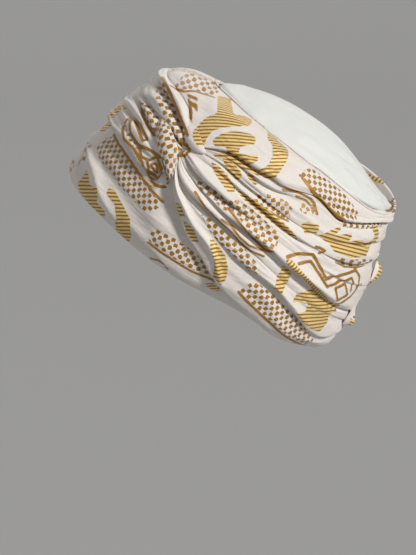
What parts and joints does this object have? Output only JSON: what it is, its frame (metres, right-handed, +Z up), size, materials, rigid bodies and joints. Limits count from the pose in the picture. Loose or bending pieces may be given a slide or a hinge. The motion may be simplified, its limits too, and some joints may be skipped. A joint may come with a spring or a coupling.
{
  "type": "pre-tied turban head wrap",
  "caption": "Soft pre-tied head wrap: a plain domed crown inside a pleated patterned band that twists into a knot at one temple, with an open hollow for the head.",
  "frame": {"origin": "middle of the head opening, where the wrap sits on the head", "axes": "+X towards the back of the head, +Y towards the wearer's right ear, +Z up, with the wrap leaning back as it is worn"},
  "size_m": [0.2466, 0.1998, 0.2095],
  "materials": {
    "crown_cotton": "matt plain cotton",
    "patterned_cotton": "white cotton with gold woven motifs, soft sheen"
  },
  "bodies": {
    "root": {"crown_cap": "crown_cotton", "brow_wrap": "patterned_cotton", "upper_wrap": "patterned_cotton", "side_drape": "patterned_cotton", "front_gathers": "patterned_cotton", "knot_loop": "patterned_cotton", "knot_band": "patterned_cotton", "upper_tucked_end": "patterned_cotton", "lower_tucked_end": "patterned_cotton"}
  },
  "joints": []
}
